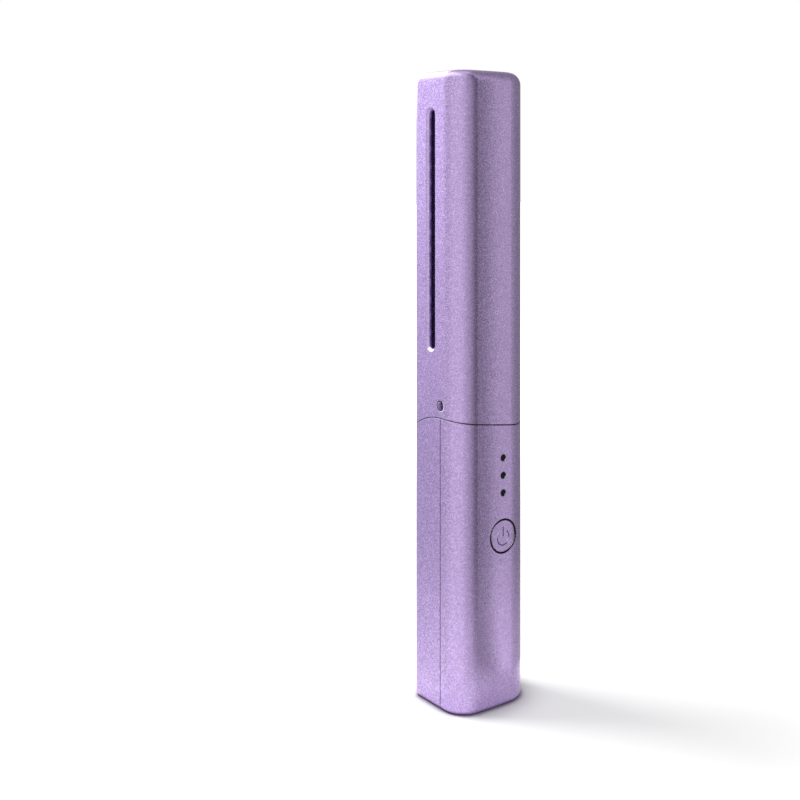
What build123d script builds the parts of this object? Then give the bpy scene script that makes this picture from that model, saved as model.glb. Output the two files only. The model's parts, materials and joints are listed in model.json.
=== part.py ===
"""Cordless hot comb: a battery handle, a heated comb head with guard teeth, and a pull-off cap.

Frame: Z is up along the comb, with the flat base at Z = 0. +X is the tooth side and -X the spine
side. +Y is the front, where the button is, and -Y the back, where the tooth slots are deep.
All sizes are in millimetres.
"""

import os

from build123d import *

os.makedirs("parts", exist_ok=True)

# ---- Case: the outline that the handle and the cap share ----
case_height = 230.0
case_width = 35.0
case_depth = 27.5
crown = 0.8             # how far each broad face bulges at its middle
tooth_front_corner = 9.0
tooth_back_corner = 2.8
spine_front_corner = 11.0
spine_back_corner = 10.5
wall = 2.0              # handle wall
base_floor = 2.2
base_round = 1.7
cap_wall = 1.75
cap_roof = 2.0
cap_round = 4.6
seam_y = 2.9            # parting plane of the front and back shells
seam_gap = 0.16

# ---- Parting line between the handle and the cap ----
rim_height = 104.6      # highest, at the seams
rim_tooth_back = 8.0    # dips below that height past the four corners
rim_tooth_front = 0.3
rim_spine_back = 1.2
rim_spine_front = 5.4
rim_back_run = 8.8      # run over which each back dip's end slope would make up the dip
rim_gap = 0.3           # between the cap's mouth and the handle's rim

# ---- Collar and plug: the part of the comb shells that the handle and the cap hold ----
collar_fit = 0.1        # plug to handle wall
collar_height = 8.4
plug_depth = 12.2
plug_wall = 1.8
lock_rib_height = 2.0
lock_rib_depth = 0.8
lock_rib_lift = 1.2     # above the plug's lower end
lock_clearance = 0.1

# ---- Cap latch ----
nub_radius = 1.2
nub_proud = 0.85
nub_lift = 4.6          # above the rim at the seam
latch_hole_radius = 1.4
latch_groove_depth = 0.75
grip_rib_width = 1.6
grip_rib_proud = 0.2
grip_rib_x = 8.4
grip_rib_low = 3.2      # above the rim's lowest corner
grip_rib_length = 6.4

# ---- Cap slot ----
slot_width = 3.6
slot_bevel = 0.9
slot_y = -2.8
slot_low_margin = 0.6   # past the last tooth gap
slot_top_drop = 2.8     # below the top of the first tooth gap

# ---- Comb head ----
gap_count = 15
gap_pitch = 6.14
first_gap_drop = 10.3    # first gap's centre below the head's top
root_gap = 3.1          # gap height at the root, and at the tooth tips
tip_gap = 3.9
head_thickness = 12.4
spine_x = -11.8
taper_x = 7.5           # where the teeth start to thin towards the tips
tip_x = 14.6
tip_thickness = 4.0
head_clearance = 0.7    # head to the cap's roof
spine_wall = 2.3
root_ramp = 2.2         # run of the scooped slot root, through the back cage
cage_wall = 2.1
front_root_x = 10.3     # root of the short slots in the front cage
finger_height = 3.4     # height of the end fingers past the outer gaps
head_round = 1.1
spine_round = 3.0
tip_back_inset = 0.8    # tooth tips sit this far in from the head's back face

# ---- Heater ----
heater_gap = 0.1
pocket_margin = 0.1
heater_edge_x = 4.5
fin_end_x = 9.5
fin_height = 3.9
fin_round = 1.1
fin_proud = 1.4         # fins stand this far out of the heater body
heater_body = 3.6
element_thickness = 1.0
element_margin = 0.6
sheet_thickness = 0.3
layer_gap = 0.05
sensor_radius = 1.0
sensor_length = 8.0
sensor_x = -5.5
lead_radius = 0.6
lead_spacing = 3.0

# ---- Neck ----
waist_x = 9.0           # tooth side of the waist
neck_thickness = 10.6
neck_round = 4.0
waist_low = 117.5
shoulder_lift = 2.0     # foot of the shoulder, above the rim
shoulder_rise = 4.5
shoulder_inset = 0.6
shoulder_taper = 1.2
channel_width = 7.0
scoop_radius = 8.5
scoop_depth = 1.9
scoop_x = 0.5
scoop_z = 119.5

# ---- Button and indicators ----
button_x = -3.0
button_drop = 22.0      # button below the middle lamp
button_radius = 5.65
button_gap = 0.25
button_flange = 1.05    # flange past the button's edge
button_flange_thickness = 0.8
button_travel = 0.7
press_clearance = 0.85  # flange to the inner face at the wall's middle
indicator_drop = 21.2   # middle lamp below the rim
indicator_pitch = 6.35
indicator_radius = 1.15
guide_gap = 0.08

# ---- Circuit board and what is on it ----
board_width = 21.0
board_thickness = 1.2
board_back_y = 7.2
board_low = 3.0
board_drop = 1.1        # board's top below the plug
switch_size = 6.0
switch_height = 0.9
plunger_radius = 1.3
plunger_clearance = 0.3
led_size = 1.6
led_height = 0.8
guide_base = 0.8
screw_radius = 0.85
screw_head_radius = 1.6
screw_head_height = 1.0
screw_x = 8.4
screw_z_low = 24.0
screw_top_drop = 4.5    # upper screws below the board's top
boss_radius = 2.1
boss_clearance = 0.05

# ---- Battery ----
cell_radius = 9.2
cell_length = 65.0
cell_drop = 14.6        # cell's top below the plug
cell_gap = 0.15
frame_plate = 1.6
frame_rail = 1.4
frame_rail_depth = 9.0
frame_depth = 16.8
tab_width = 6.0
tab_thickness = 0.3
tab_gap = 0.05

# ---- Charging inlet ----
inlet_width = 8.94
inlet_height = 3.26
inlet_length = 7.3
inlet_set_back = 0.6
inlet_shell = 0.35
inlet_margin = 0.25
tongue_thickness = 0.7

# ---- Worked out ----
half_width = case_width / 2
half_depth = case_depth / 2
collar_inset = wall + collar_fit
plug_low = rim_height - plug_depth
board_high = plug_low - board_drop
cell_high = plug_low - cell_drop
cell_low = cell_high - cell_length
indicator_z = rim_height - indicator_drop
button_z = indicator_z - button_drop
head_top = case_height - cap_roof - head_clearance
first_gap_z = head_top - first_gap_drop
back_face_y = seam_y - head_thickness / 2
front_face_y = seam_y + head_thickness / 2
last_gap_z = first_gap_z - (gap_count - 1) * gap_pitch
root_x = spine_x + spine_wall
pocket_back_y = back_face_y + cage_wall
fin_back_y = pocket_back_y + heater_gap
body_back_y = fin_back_y + fin_proud
body_front_y = body_back_y + heater_body
element_back_y = body_front_y + layer_gap
element_front_y = element_back_y + element_thickness
sheet_back_y = element_front_y + layer_gap
sheet_front_y = sheet_back_y + sheet_thickness
pocket_front_y = sheet_front_y + heater_gap
pocket_low_x = root_x - root_gap / 4
pocket_high_x = fin_end_x + pocket_margin
pocket_low_z = last_gap_z - root_gap / 2 - finger_height / 2
pocket_high_z = first_gap_z + root_gap / 2 + finger_height / 2
head_low_z = last_gap_z - tip_gap / 2 - finger_height
nub_z = rim_height + nub_lift
board_front_y = board_back_y + board_thickness
cell_y = -half_depth + wall + cell_gap + cell_radius
inner_face_y = half_depth - wall
flange_top_y = inner_face_y - press_clearance
flange_low_y = flange_top_y - button_flange_thickness
frame_clearance = cell_radius + cell_gap
scoop_reach = neck_thickness / 2 + scoop_radius - scoop_depth
scoop_spots = [(scoop_x, seam_y + side * scoop_reach, scoop_z) for side in (-1, 1)]


def case_outline(inset):
    """Cross-section of the case, every side moved in by inset."""
    side_y = half_depth - crown
    with BuildSketch() as outline:
        with BuildLine():
            ThreePointArc((-half_width, side_y), (0, half_depth), (half_width, side_y))
            Line((half_width, side_y), (half_width, -side_y))
            ThreePointArc((half_width, -side_y), (0, -half_depth), (-half_width, -side_y))
            Line((-half_width, -side_y), (-half_width, side_y))
        make_face()
        for side, end, radius in (
            (-1, -1, tooth_front_corner),
            (-1, 0, tooth_back_corner),
            (0, -1, spine_front_corner),
            (0, 0, spine_back_corner),
        ):
            fillet(outline.vertices().group_by(Axis.X)[side].sort_by(Axis.Y)[end], radius=radius)
        if inset:
            offset(amount=-inset)
    return outline.sketch


def parting_block(lift):
    """Everything below the swept parting surface, with that surface raised by lift."""
    reach = 2.0
    edge_y = half_depth + reach
    high = rim_height + lift
    sides = (
        (-half_width - reach, rim_spine_back, rim_spine_front),
        (half_width + reach, rim_tooth_back, rim_tooth_front),
    )
    with BuildPart() as block:
        for side_x, back_dip, front_dip in sides:
            with BuildSketch(Plane.YZ.offset(side_x)):
                with BuildLine():
                    back_rim = Spline(
                        (-edge_y, high - back_dip),
                        (seam_y, high),
                        tangents=[(rim_back_run, back_dip), (1, 0)],
                    )
                    front_rim = Spline(
                        back_rim @ 1,
                        (edge_y, high - front_dip),
                        tangents=[(1, 0), (1, 0)],
                    )
                    Polyline(front_rim @ 1, (edge_y, -reach), (-edge_y, -reach), back_rim @ 0)
                make_face()
        loft(ruled=True)
    return block.part


def cut_block(low, high):
    """Box between two corners, for pockets and channels."""
    size = [b - a for a, b in zip(low, high)]
    middle = [(a + b) / 2 for a, b in zip(low, high)]
    return Pos(*middle) * Box(*size, mode=Mode.PRIVATE)


def back_half():
    """Plane that keeps what lies behind the seam."""
    return Plane.XZ.offset(-(seam_y - seam_gap / 2))


def front_half():
    """Plane that keeps what lies in front of the seam."""
    return Plane.XZ.offset(-(seam_y + seam_gap / 2))


def write(piece, name):
    piece.part.label = name
    export_step(piece.part, f"parts/{name}.step")


# ---- Handle form: outside and hollow, before it is split into its two shells ----

with BuildPart() as handle_form:
    with BuildSketch():
        add(case_outline(0))
    extrude(amount=rim_height + 1)
    fillet(handle_form.faces().sort_by(Axis.Z)[0].edges(), radius=base_round)
    add(parting_block(0), mode=Mode.INTERSECT)

inlet_y = board_back_y - inlet_height / 2

with BuildPart() as handle_hollow:
    with BuildSketch(Plane.XY.offset(base_floor)):
        add(case_outline(wall))
    extrude(amount=rim_height + 1 - base_floor)
    with BuildSketch(Plane.XY.offset(plug_low + lock_rib_lift - lock_clearance)):
        add(case_outline(wall - lock_rib_depth))
    extrude(amount=lock_rib_height + 2 * lock_clearance)
    with BuildSketch():
        with Locations((0, inlet_y)):
            SlotOverall(inlet_width + 2 * inlet_margin, inlet_height + 2 * inlet_margin)
    extrude(amount=base_floor)

# ---- Front shell: button hole, indicator holes and the board's bosses ----

indicator_spots = [(button_x, indicator_z + step * indicator_pitch) for step in (-1, 0, 1)]
screw_spots = [(x, z) for x in (-screw_x, screw_x) for z in (screw_z_low, board_high - screw_top_drop)]

with BuildPart() as boss_form:
    with BuildSketch(Plane.XZ.offset(-(board_front_y + boss_clearance))):
        with Locations(*screw_spots):
            Circle(boss_radius)
    extrude(amount=-(half_depth - board_front_y))
    with BuildSketch():
        add(case_outline(wall / 2))
    extrude(amount=rim_height, mode=Mode.INTERSECT)

with BuildPart() as front_shell:
    add(handle_form.part)
    add(handle_hollow.part, mode=Mode.SUBTRACT)
    add(boss_form.part)
    split(bisect_by=front_half(), keep=Keep.BOTTOM)
    with BuildSketch(Plane.XZ.offset(-(inner_face_y - wall))):
        with Locations((button_x, button_z)):
            Circle(button_radius + button_gap)
        with Locations(*indicator_spots):
            Circle(indicator_radius + guide_gap)
    extrude(amount=-3 * wall, mode=Mode.SUBTRACT)
    with BuildSketch(Plane.XZ.offset(-board_front_y)):
        with Locations(*screw_spots):
            Circle(screw_radius + boss_clearance)
    extrude(amount=-(inner_face_y - board_front_y - wall / 2), mode=Mode.SUBTRACT)

write(front_shell, "front_shell")

# ---- Back shell: deep half, with tabs that snap behind the front shell's walls ----

tab_length = 9.0
tab_spots = (22.0, 55.0, plug_low - tab_length)
tab_overlap = 1.6
tab_root = 3.0
tab_depth = 1.1

with BuildPart() as snap_tabs:
    for tab_z in tab_spots:
        with BuildSketch(Plane.XY.offset(tab_z - tab_length / 2)):
            with Locations((0, seam_y + (tab_overlap - tab_root) / 2)):
                Rectangle(case_width, tab_overlap + tab_root)
            add(case_outline(wall + tab_depth), mode=Mode.SUBTRACT)
            add(case_outline(wall + seam_gap / 2), mode=Mode.INTERSECT)
        extrude(amount=tab_length)

with BuildPart() as tab_roots:
    for tab_z in tab_spots:
        with BuildSketch(Plane.XY.offset(tab_z - tab_length / 2)):
            with Locations((0, seam_y - tab_root / 2 - seam_gap)):
                Rectangle(case_width - wall, tab_root - seam_gap)
            add(case_outline(wall + tab_depth), mode=Mode.SUBTRACT)
        extrude(amount=tab_length)

with BuildPart() as back_shell:
    add(handle_form.part)
    add(handle_hollow.part, mode=Mode.SUBTRACT)
    split(bisect_by=back_half(), keep=Keep.TOP)
    add(snap_tabs.part)
    add(tab_roots.part)

write(back_shell, "back_shell")

# ---- Comb form: plug, collar, shoulder, neck and head in one, before it is split ----


def comb_plan():
    """Section of the head across the comb: rounded spine, flat back, tooth tips thinned from the front."""
    tip_back_y = back_face_y + tip_back_inset
    with BuildSketch() as plan:
        with BuildLine():
            Polyline(
                (spine_x, back_face_y),
                (taper_x, back_face_y),
                (tip_x, tip_back_y),
                (tip_x, tip_back_y + tip_thickness),
                (taper_x, front_face_y),
                (spine_x, front_face_y),
                close=True,
            )
        make_face()
        fillet(plan.vertices().group_by(Axis.X)[0], radius=spine_round)
        fillet(plan.vertices().group_by(Axis.X)[-1], radius=head_round)
    return plan.sketch


def head_side():
    """Side view of the head: domed top, straight spine, and the last finger over the neck."""
    with BuildSketch() as side:
        with BuildLine():
            dome = Spline(
                (spine_x, first_gap_z + 1.5),
                (spine_x + 4.0, head_top - 2.2),
                (spine_x + 11.0, head_top),
                (taper_x, head_top - 1.5),
                (tip_x, first_gap_z + tip_gap / 2 + finger_height),
                tangents=[(0, 1), (1, -1)],
            )
            Polyline(
                dome @ 1,
                (tip_x, head_low_z),
                (spine_x, head_low_z),
                dome @ 0,
            )
        make_face()
    return side.sketch


def waist_plan():
    """Rounded section of the neck at its waist, centred on the seam."""
    with BuildSketch() as plan:
        with Locations(((spine_x + waist_x) / 2, seam_y)):
            RectangleRounded(waist_x - spine_x, neck_thickness, neck_round)
    return plan.sketch


with BuildPart() as head_form:
    with BuildSketch(Plane.XY.offset(head_low_z)):
        add(comb_plan())
    extrude(amount=head_top + 1 - head_low_z)
    with BuildSketch(Plane.XZ):
        add(head_side())
    extrude(amount=case_depth, both=True, mode=Mode.INTERSECT)
    with Locations(*scoop_spots):
        Sphere(scoop_radius, mode=Mode.SUBTRACT)

shoulder_low = rim_height + shoulder_lift
shoulder_high = shoulder_low + shoulder_rise
shoulder_top_inset = collar_inset + shoulder_inset + shoulder_taper

with BuildPart() as neck_form:
    with BuildSketch(Plane.XY.offset(shoulder_low)):
        add(case_outline(collar_inset + shoulder_inset))
    with BuildSketch(Plane.XY.offset(shoulder_high)):
        add(case_outline(shoulder_top_inset))
    loft()
    with BuildSketch(Plane.XY.offset(shoulder_high)):
        add(case_outline(shoulder_top_inset))
    with BuildSketch(Plane.XY.offset(waist_low)):
        add(waist_plan())
    loft()
    with BuildSketch(Plane.XY.offset(waist_low)):
        add(waist_plan())
    extrude(amount=head_low_z - waist_low + finger_height / 2)
    with Locations(*scoop_spots):
        Sphere(scoop_radius, mode=Mode.SUBTRACT)

with BuildPart() as collar_form:
    with BuildSketch(Plane.XY.offset(plug_low)):
        add(case_outline(collar_inset))
    extrude(amount=rim_height + collar_height + 1 - plug_low)
    add(parting_block(collar_height), mode=Mode.INTERSECT)
    with BuildSketch(Plane.XY.offset(plug_low + lock_rib_lift)):
        add(case_outline(collar_inset - lock_rib_depth))
    extrude(amount=lock_rib_height)

# Snap nubs sit on the seam at both narrow sides, and a grip rib on the back of the collar.

collar_half = half_width - collar_inset
grip_rib_z = rim_height - rim_tooth_back + grip_rib_low

with BuildPart() as latch_form:
    with BuildSketch(Plane.YZ):
        with Locations((seam_y, nub_z)):
            Circle(nub_radius)
    extrude(amount=collar_half + nub_proud, both=True)
    fillet(latch_form.edges().filter_by(GeomType.CIRCLE), radius=nub_proud)
    with BuildSketch(Plane.YZ):
        with Locations((seam_y, nub_z)):
            Circle(2 * nub_radius)
    extrude(amount=collar_half - plug_wall / 2, both=True, mode=Mode.SUBTRACT)
    with BuildSketch(Plane.XY.offset(grip_rib_z)):
        with Locations((grip_rib_x, -half_depth / 2)):
            Rectangle(grip_rib_width, half_depth)
        add(case_outline(collar_inset - grip_rib_proud), mode=Mode.INTERSECT)
        add(case_outline(collar_inset + wall / 2), mode=Mode.SUBTRACT)
    extrude(amount=grip_rib_length)

with BuildPart() as comb_form:
    add(collar_form.part)
    add(neck_form.part)
    add(head_form.part)
    add(latch_form.part)

# ---- Hollow of the comb shells: heater pocket, lead channel and the plug's inside ----

with BuildPart() as comb_hollow:
    with BuildSketch(Plane.XY.offset(plug_low)):
        add(case_outline(collar_inset + plug_wall))
    extrude(amount=shoulder_low - plug_wall - rim_tooth_back - plug_low)
    add(cut_block((-channel_width / 2, body_back_y, plug_low),
                  (channel_width / 2, board_back_y + heater_gap, pocket_low_z + 1)))
    add(cut_block((pocket_low_x, pocket_back_y, pocket_low_z),
                  (pocket_high_x, pocket_front_y, pocket_high_z)))
    add(cut_block((sensor_x - sensor_radius - heater_gap, pocket_front_y - wall,
                   (pocket_low_z + pocket_high_z - sensor_length) / 2 - heater_gap),
                  (sensor_x + sensor_radius + heater_gap,
                   pocket_front_y + 2 * sensor_radius + heater_gap,
                   (pocket_low_z + pocket_high_z + sensor_length) / 2 + heater_gap)))


def gap_heights():
    """Heights of the tooth gaps' centres, from the top down."""
    return [first_gap_z - step * gap_pitch for step in range(gap_count)]


def gap_profile(root):
    """Side view of every tooth gap: round root at X = root, widening to the tips."""
    reach = tip_x + 1.0
    grown = tip_gap / 2 + (tip_gap - root_gap) / 2 * (reach - tip_x) / (tip_x - root_x)
    root_half = root_gap / 2 + (tip_gap - root_gap) / 2 * (root - root_x) / (tip_x - root_x)
    middle = root + root_half
    with BuildSketch() as profile:
        for gap_z in gap_heights():
            with BuildLine():
                Polyline(
                    (middle, gap_z - root_half),
                    (reach, gap_z - grown),
                    (reach, gap_z + grown),
                    (middle, gap_z + root_half),
                )
                ThreePointArc(
                    (middle, gap_z + root_half),
                    (root, gap_z),
                    (middle, gap_z - root_half),
                )
            make_face()
    return profile.sketch


# ---- Back cage: deep slots whose roots are scooped towards the spine ----

with BuildPart() as comb_back_shell:
    add(comb_form.part)
    add(comb_hollow.part, mode=Mode.SUBTRACT)
    split(bisect_by=back_half(), keep=Keep.TOP)
    with BuildSketch(Plane.XZ.offset(-seam_y)):
        add(gap_profile(root_x + root_ramp))
    extrude(amount=case_depth, mode=Mode.SUBTRACT)
    for gap_z in gap_heights():
        scoop_plane = Plane(
            origin=(root_x + root_ramp + root_gap / 2, pocket_back_y, gap_z),
            x_dir=(0, 0, 1),
            z_dir=(-root_ramp, -cage_wall, 0),
        )
        with Locations(scoop_plane):
            Cylinder(root_gap / 2, 4 * cage_wall, mode=Mode.SUBTRACT)

write(comb_back_shell, "comb_back_shell")

# ---- Front cage: closed behind the heater, with short slots between the tooth tips ----

with BuildPart() as comb_front_shell:
    add(comb_form.part)
    add(comb_hollow.part, mode=Mode.SUBTRACT)
    split(bisect_by=front_half(), keep=Keep.BOTTOM)
    with BuildSketch(Plane.XZ.offset(-seam_y)):
        add(gap_profile(front_root_x))
    extrude(amount=-case_depth, mode=Mode.SUBTRACT)

write(comb_front_shell, "comb_front_shell")

# ---- Heater: finned comb plate, ceramic element, insulating sheet, sensor and leads ----

tooth_heights = [gap_z - gap_pitch / 2 for gap_z in gap_heights()[:-1]]
plate_low = pocket_low_z + heater_gap
plate_high = pocket_high_z - heater_gap
plate_x = pocket_low_x + heater_gap

with BuildPart() as heater_plate:
    add(cut_block((plate_x, body_back_y, plate_low), (heater_edge_x, body_front_y, plate_high)))
    with BuildSketch(Plane.XZ.offset(-fin_back_y)):
        for tooth_z in tooth_heights:
            with Locations(((plate_x + element_margin + fin_end_x) / 2, tooth_z)):
                Rectangle(fin_end_x - plate_x - element_margin, fin_height)
    extrude(amount=-(body_front_y - fin_back_y))
    with BuildSketch(Plane.XZ.offset(-fin_back_y)):
        for tooth_z in tooth_heights:
            with Locations(((heater_edge_x + layer_gap + fin_end_x) / 2, tooth_z)):
                Rectangle(fin_end_x - heater_edge_x - layer_gap, fin_height)
    extrude(amount=-(sheet_front_y - fin_back_y))
    fin_ends = heater_plate.edges().filter_by(Axis.Y).group_by(Axis.X)[-1]
    fillet(fin_ends, radius=fin_round)

write(heater_plate, "heater_plate")

element_x = plate_x + element_margin
element_high_x = heater_edge_x - element_margin
element_low = plate_low + element_margin
element_high = plate_high - element_margin

with BuildPart() as heating_element:
    add(cut_block((element_x, element_back_y, element_low),
                  (element_high_x, element_front_y, element_high)))
    fillet(heating_element.edges().filter_by(Axis.Y), radius=element_margin)

write(heating_element, "heating_element")

with BuildPart() as insulating_sheet:
    add(cut_block((plate_x, sheet_back_y, plate_low), (heater_edge_x - layer_gap, sheet_front_y, plate_high)))
    fillet(insulating_sheet.edges().filter_by(Axis.Y), radius=element_margin)

write(insulating_sheet, "insulating_sheet")

with BuildPart() as heat_sensor:
    with BuildSketch(Plane.XY.offset((pocket_low_z + pocket_high_z - sensor_length) / 2)):
        with Locations((sensor_x, sheet_front_y + layer_gap + sensor_radius)):
            Circle(sensor_radius)
    extrude(amount=sensor_length)
    fillet(heat_sensor.edges(), radius=sensor_radius / 2)

write(heat_sensor, "heat_sensor")

lead_y = board_back_y - lead_radius - layer_gap
lead_overlap = 4.0

with BuildPart() as heater_leads:
    with BuildSketch(Plane.XY.offset(board_high - lead_overlap)):
        with GridLocations(lead_spacing, 0, 2, 1):
            with Locations((0, lead_y)):
                Circle(lead_radius)
    extrude(amount=plate_low - layer_gap - board_high + lead_overlap)

write(heater_leads, "heater_leads")

# ---- Cap: one moulding, with a bevelled slot, two latch holes and lead-in grooves ----

cap_low = rim_height - rim_tooth_back - 2
slot_low = last_gap_z - root_gap / 2 - slot_low_margin
slot_high = first_gap_z + root_gap / 2 - slot_top_drop
slot_middle = (slot_y, (slot_low + slot_high) / 2)
slot_length = slot_high - slot_low

with BuildPart() as cap_shell:
    with BuildSketch(Plane.XY.offset(cap_low)):
        add(case_outline(0))
    extrude(amount=case_height - cap_low)
    fillet(cap_shell.faces().sort_by(Axis.Z)[-1].edges(), radius=cap_round)
    with BuildSketch(Plane.XY.offset(cap_low)):
        add(case_outline(cap_wall))
    extrude(amount=case_height - cap_roof - cap_low, mode=Mode.SUBTRACT)
    roof_edges = cap_shell.faces().filter_by(Plane.XY).sort_by(Axis.Z)[-2].edges()
    fillet(roof_edges, radius=cap_round - cap_wall)
    add(parting_block(rim_gap), mode=Mode.SUBTRACT)
    with BuildSketch(Plane.YZ.offset(half_width - 2 * cap_wall)):
        with Locations(slot_middle):
            SlotOverall(slot_length, slot_width, rotation=90)
    extrude(amount=4 * cap_wall, mode=Mode.SUBTRACT)
    with BuildSketch(Plane.YZ.offset(half_width - slot_bevel)):
        with Locations(slot_middle):
            SlotOverall(slot_length, slot_width, rotation=90)
    with BuildSketch(Plane.YZ.offset(half_width)):
        with Locations(slot_middle):
            SlotOverall(slot_length + 2 * slot_bevel, slot_width + 2 * slot_bevel, rotation=90)
    loft(mode=Mode.SUBTRACT)
    with BuildSketch(Plane.YZ):
        with Locations((seam_y, nub_z)):
            Circle(latch_hole_radius)
    extrude(amount=case_width, both=True, mode=Mode.SUBTRACT)
    with BuildSketch(Plane.XY.offset(cap_low)):
        with Locations((0, seam_y)):
            Rectangle(case_width - 2 * (cap_wall - latch_groove_depth), 2 * latch_hole_radius)
        with Locations((0, seam_y)):
            Rectangle(case_width - 4 * cap_wall, 2 * latch_hole_radius, mode=Mode.SUBTRACT)
    extrude(amount=nub_z - cap_low, mode=Mode.SUBTRACT)

write(cap_shell, "cap_shell")

# ---- Button: a disc that follows the front face, with a flange behind the wall ----

with BuildPart() as power_button:
    with BuildSketch(Plane.XZ.offset(-flange_low_y)):
        with Locations((button_x, button_z)):
            Circle(button_radius)
    extrude(amount=-(half_depth - flange_low_y))
    with BuildSketch():
        add(case_outline(layer_gap))
    extrude(amount=rim_height, mode=Mode.INTERSECT)
    with BuildSketch(Plane.XZ.offset(-flange_low_y)):
        with Locations((button_x, button_z)):
            Circle(button_radius + button_flange)
    extrude(amount=-button_flange_thickness)

write(power_button, "power_button")

# ---- Circuit board, switch, lamps and light guide ----

with BuildPart() as circuit_board:
    add(cut_block((-board_width / 2, board_back_y, board_low),
                  (board_width / 2, board_front_y, board_high)))
    fillet(circuit_board.edges().filter_by(Axis.Y), radius=1.0)
    with BuildSketch(Plane.XZ.offset(-board_back_y)):
        with Locations(*screw_spots):
            Circle(screw_radius + boss_clearance)
    extrude(amount=-board_thickness, mode=Mode.SUBTRACT)

write(circuit_board, "circuit_board")

switch_top = board_front_y + switch_height

with BuildPart() as tact_switch:
    with BuildSketch(Plane.XZ.offset(-board_front_y)):
        with Locations((button_x, button_z)):
            RectangleRounded(switch_size, switch_size, 0.6)
            Circle(plunger_radius + plunger_clearance, mode=Mode.SUBTRACT)
    extrude(amount=-switch_height)

write(tact_switch, "tact_switch")

plunger_low = board_front_y + button_travel + plunger_clearance / 2

with BuildPart() as switch_plunger:
    with BuildSketch(Plane.XZ.offset(-plunger_low)):
        with Locations((button_x, button_z)):
            Circle(plunger_radius)
    extrude(amount=-(flange_low_y - layer_gap - plunger_low))

write(switch_plunger, "switch_plunger")

with BuildPart() as indicator_leds:
    with BuildSketch(Plane.XZ.offset(-board_front_y)):
        with Locations(*indicator_spots):
            Rectangle(led_size, led_size)
    extrude(amount=-led_height)

write(indicator_leds, "indicator_leds")

guide_low = board_front_y + led_height + layer_gap

with BuildPart() as light_guide:
    with BuildSketch(Plane.XZ.offset(-guide_low)):
        with Locations((button_x, indicator_z)):
            SlotOverall(2 * indicator_pitch + 3 * indicator_radius, 3 * indicator_radius, rotation=90)
    extrude(amount=-guide_base)
    with BuildSketch(Plane.XZ.offset(-guide_low)):
        with Locations(*indicator_spots):
            Circle(indicator_radius)
    extrude(amount=-(half_depth - guide_low))
    with BuildSketch():
        add(case_outline(layer_gap))
    extrude(amount=rim_height, mode=Mode.INTERSECT)

write(light_guide, "light_guide")

with BuildPart() as board_screws:
    with BuildSketch(Plane.XZ.offset(-board_back_y)):
        with Locations(*screw_spots):
            Circle(screw_head_radius)
    extrude(amount=screw_head_height)
    with BuildSketch(Plane.XZ.offset(-board_back_y)):
        with Locations(*screw_spots):
            Circle(screw_radius)
    extrude(amount=-(inner_face_y - board_back_y - wall))

write(board_screws, "board_screws")

# ---- Battery: cell, end frame with rails, and contact tabs ----

with BuildPart() as battery_cell:
    with BuildSketch(Plane.XY.offset(cell_low)):
        with Locations((0, cell_y)):
            Circle(cell_radius)
    extrude(amount=cell_length)
    chamfer(battery_cell.edges(), length=0.8)

write(battery_cell, "battery_cell")

frame_low = cell_low - tab_thickness - 2 * tab_gap - frame_plate
frame_high = cell_high + tab_thickness + 2 * tab_gap
frame_outer = frame_clearance + frame_rail

with BuildPart() as battery_frame:
    for plate_z in (frame_low, frame_high):
        with BuildSketch(Plane.XY.offset(plate_z)):
            with Locations((0, cell_y)):
                RectangleRounded(2 * frame_outer, frame_depth, frame_plate)
        extrude(amount=frame_plate)
    for side in (-1, 1):
        low_x, high_x = sorted((side * frame_clearance, side * frame_outer))
        add(cut_block((low_x, cell_y - frame_rail_depth / 2, frame_low),
                      (high_x, cell_y + frame_rail_depth / 2, frame_high + frame_plate)))

write(battery_frame, "battery_frame")

with BuildPart() as battery_tabs:
    tab_front = board_back_y - tab_gap
    for tab_low in (cell_low - tab_gap - tab_thickness, cell_high + tab_gap):
        add(cut_block((-tab_width / 2, cell_y, tab_low),
                      (tab_width / 2, tab_front, tab_low + tab_thickness)))

write(battery_tabs, "battery_tabs")

# ---- Charging inlet ----

with BuildPart() as charging_inlet:
    with BuildSketch(Plane.XY.offset(inlet_set_back)):
        with Locations((0, inlet_y)):
            SlotOverall(inlet_width, inlet_height)
            SlotOverall(inlet_width - 2 * inlet_shell, inlet_height - 2 * inlet_shell, mode=Mode.SUBTRACT)
    extrude(amount=inlet_length)
    with BuildSketch(Plane.XY.offset(inlet_set_back + inlet_length - 1.0)):
        with Locations((0, inlet_y)):
            SlotOverall(inlet_width, inlet_height)
    extrude(amount=1.0)

write(charging_inlet, "charging_inlet")

with BuildPart() as inlet_tongue:
    with BuildSketch(Plane.XY.offset(inlet_set_back + 0.8)):
        with Locations((0, inlet_y)):
            Rectangle(inlet_width - inlet_height, tongue_thickness)
    extrude(amount=inlet_length - 1.0 - 0.8 - layer_gap)

write(inlet_tongue, "inlet_tongue")
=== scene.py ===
"""Looks of the cordless hot comb: metallic lavender paint, black heater, studio floor and lights.

Frame: metres, Z up along the comb, +X the tooth side, +Y the front with the button.
"""

import json
import math

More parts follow.
